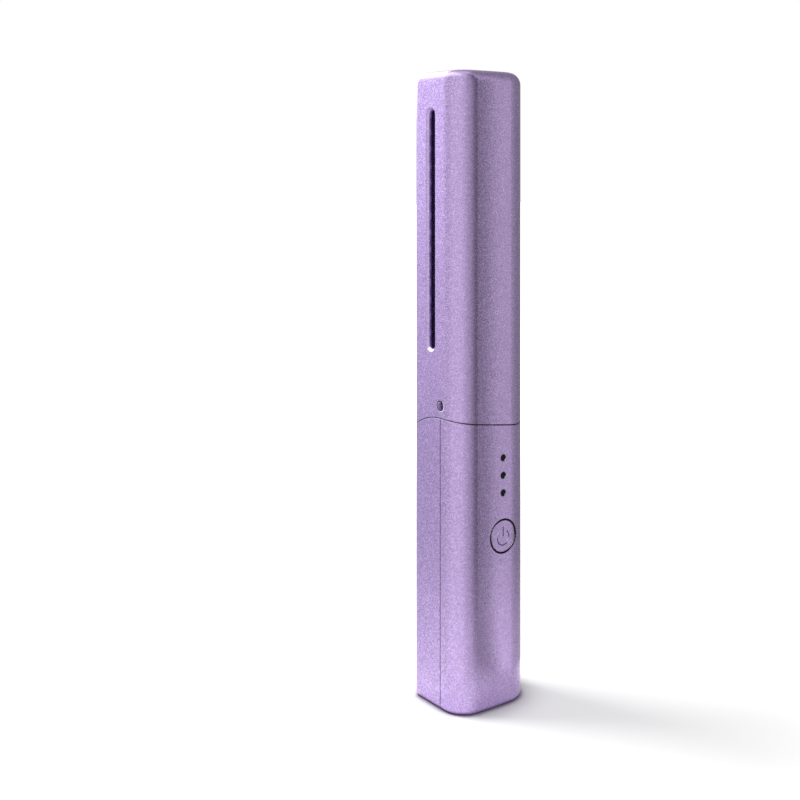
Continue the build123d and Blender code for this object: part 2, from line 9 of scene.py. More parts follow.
import bpy
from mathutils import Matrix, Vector


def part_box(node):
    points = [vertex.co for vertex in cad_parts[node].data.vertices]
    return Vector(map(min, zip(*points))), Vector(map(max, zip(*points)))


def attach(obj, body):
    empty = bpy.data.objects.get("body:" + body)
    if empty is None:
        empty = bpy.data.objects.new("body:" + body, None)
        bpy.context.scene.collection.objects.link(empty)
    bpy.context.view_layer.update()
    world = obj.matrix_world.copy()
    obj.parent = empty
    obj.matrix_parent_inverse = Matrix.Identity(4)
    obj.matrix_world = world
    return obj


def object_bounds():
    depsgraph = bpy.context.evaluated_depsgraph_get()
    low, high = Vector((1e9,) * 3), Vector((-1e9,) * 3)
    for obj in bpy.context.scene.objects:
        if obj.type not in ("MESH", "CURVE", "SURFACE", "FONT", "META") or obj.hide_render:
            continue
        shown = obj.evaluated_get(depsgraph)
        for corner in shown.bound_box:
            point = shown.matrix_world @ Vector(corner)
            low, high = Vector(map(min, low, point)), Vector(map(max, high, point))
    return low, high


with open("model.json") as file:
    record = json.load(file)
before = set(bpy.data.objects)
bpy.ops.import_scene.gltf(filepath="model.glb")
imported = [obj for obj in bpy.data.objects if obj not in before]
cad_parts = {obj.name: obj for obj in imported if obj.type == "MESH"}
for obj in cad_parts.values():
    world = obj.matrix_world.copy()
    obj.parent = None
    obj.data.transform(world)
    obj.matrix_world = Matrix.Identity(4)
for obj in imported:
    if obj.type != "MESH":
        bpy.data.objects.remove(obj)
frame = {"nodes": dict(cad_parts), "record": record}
cad_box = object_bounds()

MM = 0.001
NODES = frame["nodes"]
CASE_HALF_WIDTH = cad_box[1][0]
CASE_HALF_DEPTH = cad_box[1][1]

# ---- The photograph's view ----

IMAGE_SIDE = 800
VIEW_TURN = math.radians(36)        # camera direction from +Y towards the tooth side
CAMERA_DISTANCE = 427.2 * MM        # from the comb's axis
AXIS_OFFSET = 26.9 * MM             # the axis stands this far right of the image's middle
EYE_HEIGHT = 191.7 * MM
HORIZON_PX = 176.2                  # height of the eye level in the photograph
SENSOR_MM = 36
FOCAL_PX = 1154
CLIP_NEAR = 10 * MM
CLIP_FAR = 20.0

TOWARDS_CAMERA = Vector((math.sin(VIEW_TURN), math.cos(VIEW_TURN), 0))
IMAGE_RIGHT = Vector((-math.cos(VIEW_TURN), math.sin(VIEW_TURN), 0))


def make_camera():
    camera = bpy.data.objects.new("camera", bpy.data.cameras.new("camera"))
    camera.location = TOWARDS_CAMERA * CAMERA_DISTANCE - IMAGE_RIGHT * AXIS_OFFSET
    camera.location.z = EYE_HEIGHT
    camera.rotation_euler = (math.pi / 2, 0, math.pi - VIEW_TURN)
    camera.data.sensor_width = SENSOR_MM
    camera.data.lens = FOCAL_PX * SENSOR_MM / IMAGE_SIDE
    camera.data.shift_y = (HORIZON_PX - IMAGE_SIDE / 2) / IMAGE_SIDE
    camera.data.clip_start = CLIP_NEAR
    camera.data.clip_end = CLIP_FAR
    bpy.context.scene.collection.objects.link(camera)
    bpy.context.scene.camera = camera


# ---- Node and mesh helpers ----


def rgba(red, green, blue):
    return (red, green, blue, 1.0)


def shade(colour, factor):
    return rgba(*[channel * factor for channel in colour[:3]])


BLACK = rgba(0.0, 0.0, 0.0)
WHITE = rgba(1.0, 1.0, 1.0)


class Graph:
    """A material or world node tree with short calls for the nodes used here."""

    def __init__(self, owner):
        owner.use_nodes = True
        self.tree = owner.node_tree
        self.tree.nodes.clear()

    def node(self, kind, **settings):
        made = self.tree.nodes.new(kind)
        for key, value in settings.items():
            setattr(made, key, value)
        return made

    def link(self, source, target):
        self.tree.links.new(source, target)

    def feed(self, target, value):
        """Links a socket or writes a plain value into the target socket."""
        if isinstance(value, bpy.types.NodeSocket):
            self.link(value, target)
        else:
            target.default_value = value

    def math(self, operation, *values, clamp=False):
        made = self.node("ShaderNodeMath", operation=operation, use_clamp=clamp)
        for socket, value in zip(made.inputs, values):
            self.feed(socket, value)
        return made.outputs[0]

    def vector(self, operation, *values, scale=None):
        """Vector arithmetic; only the operation SCALE takes a scale."""
        made = self.node("ShaderNodeVectorMath", operation=operation)
        for socket, value in zip(made.inputs, values):
            self.feed(socket, value)
        if scale is not None:
            made.inputs["Scale"].default_value = scale
        return made.outputs["Value" if operation in ("DOT_PRODUCT", "LENGTH") else "Vector"]

    def axes(self, vector):
        """The X, Y and Z outputs of a vector."""
        made = self.node("ShaderNodeSeparateXYZ")
        self.link(vector, made.inputs[0])
        return made.outputs

    def span(self, value, low, high, out_low=0.0, out_high=1.0):
        """Smooth step from out_low at low to out_high at high."""
        made = self.node("ShaderNodeMapRange", interpolation_type="SMOOTHSTEP")
        for name, entry in (
            ("Value", value), ("From Min", low), ("From Max", high),
            ("To Min", out_low), ("To Max", out_high),
        ):
            self.feed(made.inputs[name], entry)
        return made.outputs["Result"]

    def blend(self, factor, first, second, mode="MIX"):
        made = self.node("ShaderNodeMix", data_type="RGBA", blend_type=mode)
        self.feed(made.inputs[0], factor)
        self.feed(made.inputs[6], first)
        self.feed(made.inputs[7], second)
        return made.outputs[2]

    def place(self):
        return self.node("ShaderNodeTexCoord").outputs["Object"]

    def true_normal(self):
        return self.node("ShaderNodeNewGeometry").outputs["Normal"]

    def noise(self, size, detail=2.0, stretch=None):
        """Noise whose lumps are about size metres across."""
        made = self.node("ShaderNodeTexNoise")
        made.inputs["Scale"].default_value = 1.0 / size
        made.inputs["Detail"].default_value = detail
        where = self.place()
        if stretch:
            mapping = self.node("ShaderNodeMapping")
            mapping.inputs["Scale"].default_value = stretch
            self.link(where, mapping.inputs["Vector"])
            where = mapping.outputs["Vector"]
        self.link(where, made.inputs["Vector"])
        return made.outputs["Fac"]

    def bump(self, height, distance, normal=None):
        made = self.node("ShaderNodeBump")
        made.inputs["Strength"].default_value = 1.0
        made.inputs["Distance"].default_value = distance
        self.feed(made.inputs["Height"], height)
        if normal:
            self.link(normal, made.inputs["Normal"])
        return made.outputs["Normal"]

    def openness(self, reach):
        """1 on open surface, less in joints and grooves narrower than reach."""
        made = self.node("ShaderNodeAmbientOcclusion", samples=8)
        made.inputs["Distance"].default_value = reach
        return made.outputs["AO"]

    def soft_edges(self, radius):
        """Normal with the piece's sharp edges rounded to radius."""
        made = self.node("ShaderNodeBevel", samples=6)
        made.inputs["Radius"].default_value = radius
        return made.outputs["Normal"]

    def surface(self, colour, roughness, normal, **constants):
        """Principled shader to the output; constants are written on its own sockets."""
        shader = self.node("ShaderNodeBsdfPrincipled")
        self.feed(shader.inputs["Base Color"], colour)
        self.feed(shader.inputs["Roughness"], roughness)
        self.link(normal, shader.inputs["Normal"])
        for name, value in constants.items():
            shader.inputs[name.replace("_", " ")].default_value = value
        self.finish(shader.outputs["BSDF"])
        return shader

    def finish(self, shader, kind="ShaderNodeOutputMaterial"):
        """Links a shader to a new output node."""
        self.link(shader, self.node(kind).inputs["Surface"])


def add_piece(name, vertices, faces, smooth=False):
    """New mesh object in the scene."""
    mesh = bpy.data.meshes.new(name)
    mesh.from_pydata(vertices, [], faces)
    mesh.update()
    for face in mesh.polygons:
        face.use_smooth = smooth
    piece = bpy.data.objects.new(name, mesh)
    bpy.context.scene.collection.objects.link(piece)
    return piece


# ---- Lavender paint ----

LAVENDER = rgba(0.572, 0.404, 0.777)
PAINT_METALLIC = 0.82
PAINT_ROUGHNESS = (0.25, 0.30)
PAINT_COAT = 0.45
PAINT_COAT_ROUGHNESS = 0.28
PAINT_EDGE = 0.25 * MM              # radius that the paint's normal gives to sharp edges
PAINT_LINE = 0.45 * MM              # reach of the painted shade line along sharp edges

NOISE_SPAN = (0.3, 0.7)             # where most values of a noise lie
PAINT_GRAIN = 0.38 * MM
GRAIN_TONES = (0.88, 1.12)
GRAIN_ROUGHNESS_SPAN = (0.2, 0.8)
SHEEN_SIZE = 9 * MM
SHEEN_SPAN = (0.35, 0.65)
SHEEN_TONE = 1.15
SHEEN_SHARE = 0.12
SIDE_GRAIN = 0.42 * MM              # coarser grain on the side that the light grazes
SIDE_GRAIN_SPAN = (0.38, 0.62)
SIDE_GRAIN_TONES = (0.76, 1.24)
SIDE_GRAIN_FACING = (0.80, 0.99)    # X of a normal where that grain starts and is full

FLAKE_SIZE = 0.26 * MM
FLAKE_TILT = 0.032
FLAKE_DARK_TONE = 0.4
FLAKE_DARK_SHARE = 0.50             # most that a dark flake darkens its spot
FLAKE_BRIGHT_FROM = 0.80            # part of the flakes that stay plain
FLAKE_BRIGHT_SHARE = 0.50
FLAKE_WHITE = rgba(0.86, 0.80, 0.95)

CREVICE_REACH = 0.5 * MM            # how near another surface darkens the paint, painted shade in joints and crevices
CREVICE_OPEN = (0.45, 0.92)         # openness where the paint is darkest and where it is plain
# tone of the painted shade in crevices
CREVICE_PAINTED_SHADE = 0.25
# tone of the painted shade line along sharp edges
EDGE_PAINTED_SHADE = 0.07
EDGE_MATCH = (0.84, 0.995)          # rounded times true normal, on an edge and away from it

GLINT = rgba(0.85, 0.80, 0.92)      # light on rims that face up on the tooth side
GLINT_FACING = (0.45, 0.70)         # X of a normal that turns to the tooth side
GLINT_EDGE_UP = (0.03, 0.22)        # Z of the rounded normal on an edge that glints
GLINT_BEVEL_UP = (0.35, 0.60)       # Z of the true normal on a bevel that glints
PLAIN_EDGE_DOWN = (-0.12, -0.40)    # Z of the rounded normal on an edge that gets no painted shade
GLINT_TOP = 215 * MM                # above this height the rims mirror the windows too
GLINT_TOP_SHARE = 0.45
GLINT_TOP_BLEND = 1 * MM
DEPTH_REACH = 8.0 * MM              # how near walls make a hollow deep
DEPTH_OPEN = (0.45, 0.90)           # openness where a hollow glows fully and where it doesn't
DEPTH_GLOW = rgba(0.070, 0.046, 0.118)


def paint_colour(graph, flakes, grain, tone):
    """Mottled base with dark and bright flakes, and a coarser grain on the tooth side."""

    def lavender(factor):
        return shade(LAVENDER, factor * tone)

    low, high = GRAIN_TONES
    base = graph.blend(graph.span(grain, *NOISE_SPAN), lavender(low), lavender(high))
    sheen = graph.span(graph.noise(SHEEN_SIZE), *SHEEN_SPAN, 0.0, SHEEN_SHARE)
    base = graph.blend(sheen, base, lavender(SHEEN_TONE))
    flake = graph.node("ShaderNodeSeparateColor")
    graph.link(flakes, flake.inputs[0])
    dark = graph.span(flake.outputs["Red"], 0.0, 1.0, 0.0, FLAKE_DARK_SHARE)
    base = graph.blend(dark, base, lavender(FLAKE_DARK_TONE))
    bright = graph.span(
        flake.outputs["Green"], FLAKE_BRIGHT_FROM, 1.0, 0.0, FLAKE_BRIGHT_SHARE
    )
    base = graph.blend(bright, base, FLAKE_WHITE)
    side_grain = graph.span(graph.noise(SIDE_GRAIN), *SIDE_GRAIN_SPAN, *SIDE_GRAIN_TONES)
    on_side = graph.span(graph.axes(graph.true_normal())["X"], *SIDE_GRAIN_FACING)
    return graph.blend(1.0, base, graph.blend(on_side, WHITE, side_grain), "MULTIPLY")


def paint_normal(graph, flakes, edge):
    """Rounded edges, and a small tilt that differs from flake to flake."""
    tilt = graph.vector("SUBTRACT", flakes, (0.5, 0.5, 0.5))
    small = graph.vector("SCALE", tilt, scale=FLAKE_TILT)
    return graph.vector("NORMALIZE", graph.vector("ADD", graph.soft_edges(edge), small))


def turned_up(graph, normal, rise):
    """1 where a normal turns up on the tooth side, or down if rise is negative."""
    parts = graph.axes(normal)
    return graph.math(
        "MULTIPLY", graph.span(parts["Z"], *rise), graph.span(parts["X"], *GLINT_FACING)
    )


def paint_glow(graph, rounded, edge_part, crevice):
    """Faint light in deep hollows, and glints on rims that face up on the tooth side."""
    hollow = graph.span(graph.openness(DEPTH_REACH), *DEPTH_OPEN, 1.0, 0.0)
    glow = graph.blend(graph.math("MULTIPLY", hollow, crevice), BLACK, DEPTH_GLOW)
    edges = graph.math("MULTIPLY", turned_up(graph, rounded, GLINT_EDGE_UP), edge_part)
    bevels = turned_up(graph, graph.true_normal(), GLINT_BEVEL_UP)
    share = graph.span(
        graph.axes(graph.place())["Z"], GLINT_TOP - GLINT_TOP_BLEND, GLINT_TOP,
        1.0, GLINT_TOP_SHARE,
    )
    glint = graph.math("MULTIPLY", graph.math("MAXIMUM", edges, bevels), share)
    return graph.blend(glint, glow, GLINT)


def paint_material(
    name, tone=1.0, edge=PAINT_EDGE, line=PAINT_LINE, metallic=PAINT_METALLIC, glints=True
):
    """Metallic lavender paint with fine flakes, with painted shade in joints and along sharp
    edges, and painted light in hollows and on rims when glints is set.
    """
    material = bpy.data.materials.new(name)
    graph = Graph(material)
    voronoi = graph.node("ShaderNodeTexVoronoi", feature="F1")
    voronoi.inputs["Scale"].default_value = 1.0 / FLAKE_SIZE
    graph.link(graph.place(), voronoi.inputs["Vector"])
    flakes = voronoi.outputs["Color"]
    grain = graph.noise(PAINT_GRAIN, detail=3.0)
    base = paint_colour(graph, flakes, grain, tone)
    # painted shade: the paint darkens where another surface is near
    crevice = graph.span(graph.openness(CREVICE_REACH), *CREVICE_OPEN)
    base = graph.blend(crevice, shade(LAVENDER, CREVICE_PAINTED_SHADE), base)
    # painted shade: a dark line along sharp edges and seams
    rounded = graph.soft_edges(line)
    match = graph.vector("DOT_PRODUCT", rounded, graph.true_normal())
    plain_part = graph.span(match, *EDGE_MATCH)
    glow = BLACK
    if glints:
        edge_part = graph.math("SUBTRACT", 1.0, plain_part)
        glow = paint_glow(graph, rounded, edge_part, crevice)
        facing_down = turned_up(graph, rounded, PLAIN_EDGE_DOWN)
        low_edge = graph.math("MULTIPLY", edge_part, facing_down)
        plain_part = graph.math("MAXIMUM", plain_part, low_edge)
    shader = graph.surface(
        graph.blend(plain_part, shade(LAVENDER, EDGE_PAINTED_SHADE), base),
        graph.span(grain, *GRAIN_ROUGHNESS_SPAN, *PAINT_ROUGHNESS),
        paint_normal(graph, flakes, edge),
        Metallic=metallic,
        Coat_Weight=PAINT_COAT,
        Coat_Roughness=PAINT_COAT_ROUGHNESS,
        Emission_Strength=1.0,
    )
    graph.feed(shader.inputs["Emission Color"], glow)
    return material


# ---- Other materials ----

PLAIN_LUMP = 1.5 * MM
PLAIN_FINE_SHARE = 1 / 6            # size of the fine noise beside the lumps
PLAIN_FINE_SPAN = (0.25, 0.75)
PLAIN_VARY = 0.18
PLAIN_ROUGHNESS_VARY = 0.2
PLAIN_EDGE = 0.12 * MM
METAL_EDGE = 0.08 * MM
METAL_LINES = 0.25 * MM             # width of the drawn lines
METAL_RELIEF = 0.01 * MM
METAL_TONES = (0.85, 1.1)
METAL_ROUGHNESS_VARY = 0.25
BOARD_GREEN = rgba(0.020, 0.125, 0.050)
BOARD_LINE = rgba(0.010, 0.075, 0.030)
BOARD_SCALE = 160                   # of the brick pattern that stands for the copper lines
BOARD_LINE_WIDTH = 0.06
BOARD_RELIEF = 0.03 * MM
BOARD_GRAIN = 1.0 * MM
BOARD_ROUGHNESS = (0.28, 0.40)
BOARD_COAT = 0.4


def plain_material(
    name, colour, roughness, vary=PLAIN_VARY, relief=0.0, edge=PLAIN_EDGE, **constants
):
    """Material with soft variation in colour and roughness, and a little relief."""
    material = bpy.data.materials.new(name)
    graph = Graph(material)
    mottle = graph.span(graph.noise(PLAIN_LUMP, detail=3.0), *NOISE_SPAN)
    fine = graph.noise(PLAIN_LUMP * PLAIN_FINE_SHARE)
    normal = graph.soft_edges(edge)
    if relief:
        normal = graph.bump(fine, relief, normal)
    graph.surface(
        graph.blend(mottle, shade(colour, 1 - vary), shade(colour, 1 + vary)),
        graph.span(
            fine, *PLAIN_FINE_SPAN,
            roughness * (1 - PLAIN_ROUGHNESS_VARY), roughness * (1 + PLAIN_ROUGHNESS_VARY),
        ),
        normal,
        **constants,
    )
    return material


def brushed_material(name, colour, roughness, stretch):
    """Metal with fine drawn lines."""
    material = bpy.data.materials.new(name)
    graph = Graph(material)
    lines = graph.noise(METAL_LINES, detail=3.0, stretch=stretch)
    low, high = METAL_TONES
    graph.surface(
        graph.blend(graph.span(lines, *NOISE_SPAN), shade(colour, low), shade(colour, high)),
        graph.span(
            lines, *NOISE_SPAN,
            roughness * (1 - METAL_ROUGHNESS_VARY), roughness * (1 + METAL_ROUGHNESS_VARY),
        ),
        graph.bump(lines, METAL_RELIEF, graph.soft_edges(METAL_EDGE)),
        Metallic=1.0,
    )
    return material


def board_material():
    """Green solder mask over faint copper lines."""
    material = bpy.data.materials.new("board_green")
    graph = Graph(material)
    bricks = graph.node("ShaderNodeTexBrick")
    bricks.inputs["Scale"].default_value = BOARD_SCALE
    bricks.inputs["Mortar Size"].default_value = BOARD_LINE_WIDTH
    turn = graph.node("ShaderNodeMapping")
    turn.inputs["Rotation"].default_value = (math.pi / 2, 0, 0)
    graph.link(graph.place(), turn.inputs["Vector"])
    graph.link(turn.outputs["Vector"], bricks.inputs["Vector"])
    tracks = bricks.outputs["Fac"]
    graph.surface(
        graph.blend(tracks, BOARD_LINE, BOARD_GREEN),
        graph.span(graph.noise(BOARD_GRAIN), *NOISE_SPAN, *BOARD_ROUGHNESS),
        graph.bump(tracks, BOARD_RELIEF),
        Coat_Weight=BOARD_COAT,
    )
    return material


# Colour, roughness and settings of each plain material, by material slot.
PLAIN_LOOKS = {
    "black_heater": (
        rgba(0.006, 0.006, 0.007), 0.26,
        {"relief": 0.015 * MM, "vary": 0.3, "Specular_IOR_Level": 0.35},
    ),
    "ceramic": (rgba(0.74, 0.72, 0.66), 0.55, {"relief": 0.02 * MM, "vary": 0.06}),
    "insulation": (rgba(0.50, 0.16, 0.02), 0.22, {"vary": 0.1, "Coat_Weight": 0.5}),
    "sensor_bead": (rgba(0.12, 0.03, 0.015), 0.12, {"Coat_Weight": 0.8}),
    "lead_sleeve": (rgba(0.68, 0.67, 0.62), 0.62, {"relief": 0.02 * MM, "vary": 0.08}),
    "dark_lens": (rgba(0.006, 0.004, 0.009), 0.30, {"vary": 0.25, "Specular_IOR_Level": 0.12}),
    "switch_black": (rgba(0.012, 0.012, 0.013), 0.42, {"relief": 0.01 * MM}),
    "led_white": (rgba(0.80, 0.79, 0.66), 0.30, {"vary": 0.06, "Coat_Weight": 0.5}),
    "cell_sleeve": (rgba(0.022, 0.040, 0.13), 0.30, {"vary": 0.12, "Coat_Weight": 0.3}),
    "frame_white": (rgba(0.66, 0.66, 0.63), 0.45, {"relief": 0.01 * MM, "vary": 0.05}),
}
# Colour, roughness and stretch of each drawn metal, by material slot.
METAL_LOOKS = {
    "screw_steel": (rgba(0.52, 0.52, 0.53), 0.30, (1, 6, 1)),
    "nickel": (rgba(0.62, 0.60, 0.56), 0.28, (1, 1, 8)),
    "inlet_steel": (rgba(0.58, 0.58, 0.59), 0.26, (8, 1, 1)),
}
COMB_SHELLS = ("comb_back_shell", "comb_front_shell")
COMB_EDGE = 0.15 * MM
COMB_LINE = 0.2 * MM
COMB_METALLIC = 0.5


def dress_nodes(comb_paint):
    """Gives every node the material of its slot, and the comb's shells their own paint."""
    looks = {"lavender_paint": paint_material("lavender_paint"), "board_green": board_material()}
    for slot, (colour, roughness, settings) in PLAIN_LOOKS.items():
        looks[slot] = plain_material(slot, colour, roughness, **settings)
    for slot, (colour, roughness, stretch) in METAL_LOOKS.items():
        looks[slot] = brushed_material(slot, colour, roughness, stretch)
    slots = {entry["node"]: entry["material_slot"] for entry in frame["record"]["subparts"]}
    for name, piece in NODES.items():
        piece.data.materials.clear()
        piece.data.materials.append(comb_paint if name in COMB_SHELLS else looks[slots[name]])


# ---- Power symbol on the button ----

SYMBOL_TONE = 0.45
SYMBOL_RADIUS = 2.75 * MM
SYMBOL_DROP = 0.5 * MM
SYMBOL_OPENING = math.radians(38)   # half of the ring's gap at its top
SYMBOL_STEPS = 48
SYMBOL_LINE = 0.24 * MM             # half width of its line
SYMBOL_PROUD = 0.04 * MM            # the line rises this far above the button
BUTTON_SUNK = 0.05 * MM             # the button lies this far under the front face
BAR_LOW = 0.4 * MM
BAR_HIGH = 3.9 * MM
CROWN = 0.8 * MM                    # the front face falls this far from its middle to its sides
CROWN_RADIUS = (CASE_HALF_WIDTH**2 + CROWN**2) / (2 * CROWN)


def front_face_y(x):
    """Y of the crowned front face at x."""
    return CASE_HALF_DEPTH - CROWN_RADIUS + math.sqrt(CROWN_RADIUS**2 - x * x)


def symbol_line(curve, points, middle):
    """Adds a line through points given across and up from the button's middle."""
    spline = curve.splines.new("POLY")
    spline.points.add(len(points) - 1)
    for point, (across, up) in zip(spline.points, points):
        x = middle.x + across
        point.co = (x, front_face_y(x) - BUTTON_SUNK, middle.z + up, 1)


def make_power_symbol():
    low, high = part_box("power_button")
    middle = (low + high) / 2
    curve = bpy.data.curves.new("power_symbol", "CURVE")
    curve.dimensions = "3D"
    curve.bevel_depth = SYMBOL_LINE
    curve.bevel_resolution = 3
    turn = 2 * (math.pi - SYMBOL_OPENING)
    ring = []
    for step in range(SYMBOL_STEPS + 1):
        angle = math.pi / 2 + SYMBOL_OPENING + turn * step / SYMBOL_STEPS
        ring.append((
            SYMBOL_RADIUS * math.cos(angle),
            SYMBOL_RADIUS * math.sin(angle) - SYMBOL_DROP,
        ))
    symbol_line(curve, ring, middle)
    symbol_line(curve, [(0, BAR_LOW - SYMBOL_DROP), (0, BAR_HIGH - SYMBOL_DROP)], middle)
    round_line = bpy.data.objects.new("power_symbol_curve", curve)
    mesh = bpy.data.meshes.new_from_object(round_line)
    bpy.data.objects.remove(round_line)
    for vertex in mesh.vertices:
        face = front_face_y(vertex.co.x) - BUTTON_SUNK
        vertex.co.y = face + (vertex.co.y - face) * SYMBOL_PROUD / SYMBOL_LINE
    mesh.materials.clear()
    mesh.materials.append(paint_material("symbol_paint", tone=SYMBOL_TONE))
    symbol = bpy.data.objects.new("power_symbol", mesh)
    bpy.context.scene.collection.objects.link(symbol)
    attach(symbol, "button")


# ---- Thin trims: gasket round the button, and at the latch holes a ring of painted shade and a lip painted with a highlight ----

TRIM_STEPS = 72
ARC_STEPS = 6
TRIM_SUNK = 0.05 * MM
GASKET_IN = 5.76 * MM
GASKET_OUT = 6.34 * MM
GASKET_PROUD = 0.02 * MM
GASKET_COLOUR = rgba(0.006, 0.005, 0.008)
# Dark ring round each latch hole, painted shade
RING_IN = 1.40 * MM
RING_OUT = 1.92 * MM
RING_PROUD = 0.06 * MM
# Raised lip at each latch hole; its near-white colour is a painted highlight
LIP_IN = 1.55 * MM
LIP_OUT = 2.0 * MM
LIP_PROUD = 0.03 * MM
LIP_SHIFT = 0.22 * MM               # the lip peeks out below the ring and in front of it, where its painted highlight shows
LIP_HIGHLIGHT_COLOUR = rgba(0.95, 0.90, 1.0)
LATCH_Y = 2.9 * MM                  # middle of the latch holes
LATCH_Z = 109.2 * MM


def half_round(inner, outer, proud):
    """Profile that rises from below the surface, rounds over and goes down again."""
    middle, half = (inner + outer) / 2, (outer - inner) / 2
    arc = []
    for step in range(ARC_STEPS + 1):
        angle = math.pi * step / ARC_STEPS
        arc.append((middle - half * math.cos(angle), proud * math.sin(angle)))
    return [(inner, -TRIM_SUNK)] + arc + [(outer, -TRIM_SUNK)]


def ring_piece(name, profile, surface):
    """Ring of a profile of (radius, height) points; surface maps (turn, radius, height)."""
    vertices = []
    faces = []
    rows = len(profile)
    for step in range(TRIM_STEPS):
        turn = math.tau * step / TRIM_STEPS
        vertices += [surface(turn, radius, height) for radius, height in profile]
        after = (step + 1) % TRIM_STEPS
        for row in range(rows - 1):
            low, high = step * rows + row, after * rows + row
            faces.append((low, high, high + 1, low + 1))
    return add_piece(name, vertices, faces, smooth=True)


def make_trims():
    low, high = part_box("power_button")
    middle = (low + high) / 2

    def on_front(turn, radius, height):
        x = middle.x + radius * math.cos(turn)
        return (x, front_face_y(x) + height, middle.z + radius * math.sin(turn))

    gasket = ring_piece("button_gasket", half_round(GASKET_IN, GASKET_OUT, GASKET_PROUD), on_front)
    # dark rubber for the button's gasket; the latch rings use it as painted shade
    rubber_and_painted_shade = plain_material(
        "gasket_rubber_and_painted_shade", GASKET_COLOUR, 0.5, vary=0.2, Specular_IOR_Level=0.1
    )
    gasket.data.materials.append(rubber_and_painted_shade)
    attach(gasket, "handle")
    # near-white paint on the latch lips, a painted highlight
    lip_highlight_paint = plain_material(
        "lip_highlight_paint", LIP_HIGHLIGHT_COLOUR, 0.2, vary=0.08, edge=0.02 * MM, Metallic=0.6
    )
    for where, side in (("tooth", 1), ("spine", -1)):
        # each latch hole gets a ring of painted shade and a raised lip with a painted highlight
        for name, inner, outer, proud, shift, look, slot in (
            ("latch_shade", RING_IN, RING_OUT, RING_PROUD, 0.0, rubber_and_painted_shade, "switch_black"),
            ("latch_lip_highlight", LIP_IN, LIP_OUT, LIP_PROUD, LIP_SHIFT, lip_highlight_paint, "lavender_paint"),
        ):

            def on_flank(turn, radius, height, side=side, shift=shift):
                return (
                    side * (CASE_HALF_WIDTH + height),
                    LATCH_Y + shift + radius * math.cos(turn),
                    LATCH_Z - shift + radius * math.sin(turn),
                )

            trim = ring_piece(f"{name}_{where}", half_round(inner, outer, proud), on_flank)
            trim.data.materials.append(look)
            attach(trim, "cap")


# ---- Cover over the lead channel, where the neck's front scoop opens into it ----

COVER_X = 0.5 * MM
COVER_Z = 119.5 * MM
COVER_RADIUS = 4.65 * MM            # just past where the dish meets the scoop
COVER_LOW = 7.25 * MM               # Y of the dish's middle, in front of the leads
COVER_RISE = 0.40 * MM
COVER_RINGS = 8


def make_scoop_cover(paint):
    vertices = [(COVER_X, COVER_LOW, COVER_Z)]
    for ring in range(1, COVER_RINGS + 1):
        share = ring / COVER_RINGS
        for step in range(TRIM_STEPS):
            turn = math.tau * step / TRIM_STEPS
            vertices.append((
                COVER_X + COVER_RADIUS * share * math.cos(turn),
                COVER_LOW + COVER_RISE * share**2,
                COVER_Z + COVER_RADIUS * share * math.sin(turn),
            ))
    faces = []
    for step in range(TRIM_STEPS):
        after = (step + 1) % TRIM_STEPS
        faces.append((0, 1 + after, 1 + step))
        for ring in range(COVER_RINGS - 1):
            low, high = 1 + ring * TRIM_STEPS, 1 + (ring + 1) * TRIM_STEPS
            faces.append((low + step, low + after, high + after, high + step))
    cover = add_piece("scoop_cover", vertices, faces, smooth=True)
    cover.data.materials.append(paint)
    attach(cover, "handle")


# ---- Floor, backdrop and world ----

FLOOR_HALF = 6.0
FLOOR_COLOUR = rgba(0.90, 0.90, 0.905)
FLOOR_GLOW = (0.33, 1.0)            # turns the lit floor white, near the comb and far from it
FLOOR_GLOW_SPAN = (0.20, 0.5)       # distances from the comb's axis between which it rises
CONTACT_REACH = 13 * MM             # the floor's glow ends this near the comb's foot, a painted contact shadow
CONTACT_OPEN = (0.5, 1.0)           # openness where the glow is gone and where it is full
FOOT_REACH = 4 * MM                 # the floor's colour darkens this near the foot, a painted contact shadow
FOOT_OPEN = (0.45, 0.80)            # openness where it is darkest and where it is plain
FOOT_SHADE = rgba(0.36, 0.32, 0.38)
WORLD_FILL = 0.45                   # light on the comb
WORLD_SEEN = 1.0                    # what the camera and the mirrored rays see


def camera_share(graph):
    """1 for rays that show the background: straight, mirrored or through glass."""
    path = graph.node("ShaderNodeLightPath")
    direct = graph.math("ADD", path.outputs["Is Camera Ray"], path.outputs["Is Glossy Ray"])
    return graph.math("ADD", direct, path.outputs["Is Transmission Ray"], clamp=True)


def make_floor():
    corners = [(-FLOOR_HALF, -FLOOR_HALF, 0), (FLOOR_HALF, -FLOOR_HALF, 0),
               (FLOOR_HALF, FLOOR_HALF, 0), (-FLOOR_HALF, FLOOR_HALF, 0)]
    floor = add_piece("studio_floor", corners, [(0, 1, 2, 3)])
    material = bpy.data.materials.new("studio_floor")
    graph = Graph(material)
    lit = graph.node("ShaderNodeBsdfDiffuse")
    # painted contact shadow: the floor's colour darkens near the foot
    open_floor = graph.span(graph.openness(FOOT_REACH), *FOOT_OPEN)
    graph.link(graph.blend(open_floor, FOOT_SHADE, FLOOR_COLOUR), lit.inputs["Color"])
    glow = graph.node("ShaderNodeEmission")
    glow.inputs["Color"].default_value = WHITE
    far = graph.span(graph.vector("LENGTH", graph.place()), *FLOOR_GLOW_SPAN, *FLOOR_GLOW)
    # painted contact shadow: the glow fades out near the foot
    near = graph.span(graph.openness(CONTACT_REACH), *CONTACT_OPEN)
    share = graph.math("MULTIPLY", near, camera_share(graph))
    graph.link(graph.math("MULTIPLY", far, share), glow.inputs["Strength"])
    both = graph.node("ShaderNodeAddShader")
    graph.link(lit.outputs[0], both.inputs[0])
    graph.link(glow.outputs[0], both.inputs[1])
    graph.finish(both.outputs[0])
    floor.data.materials.append(material)


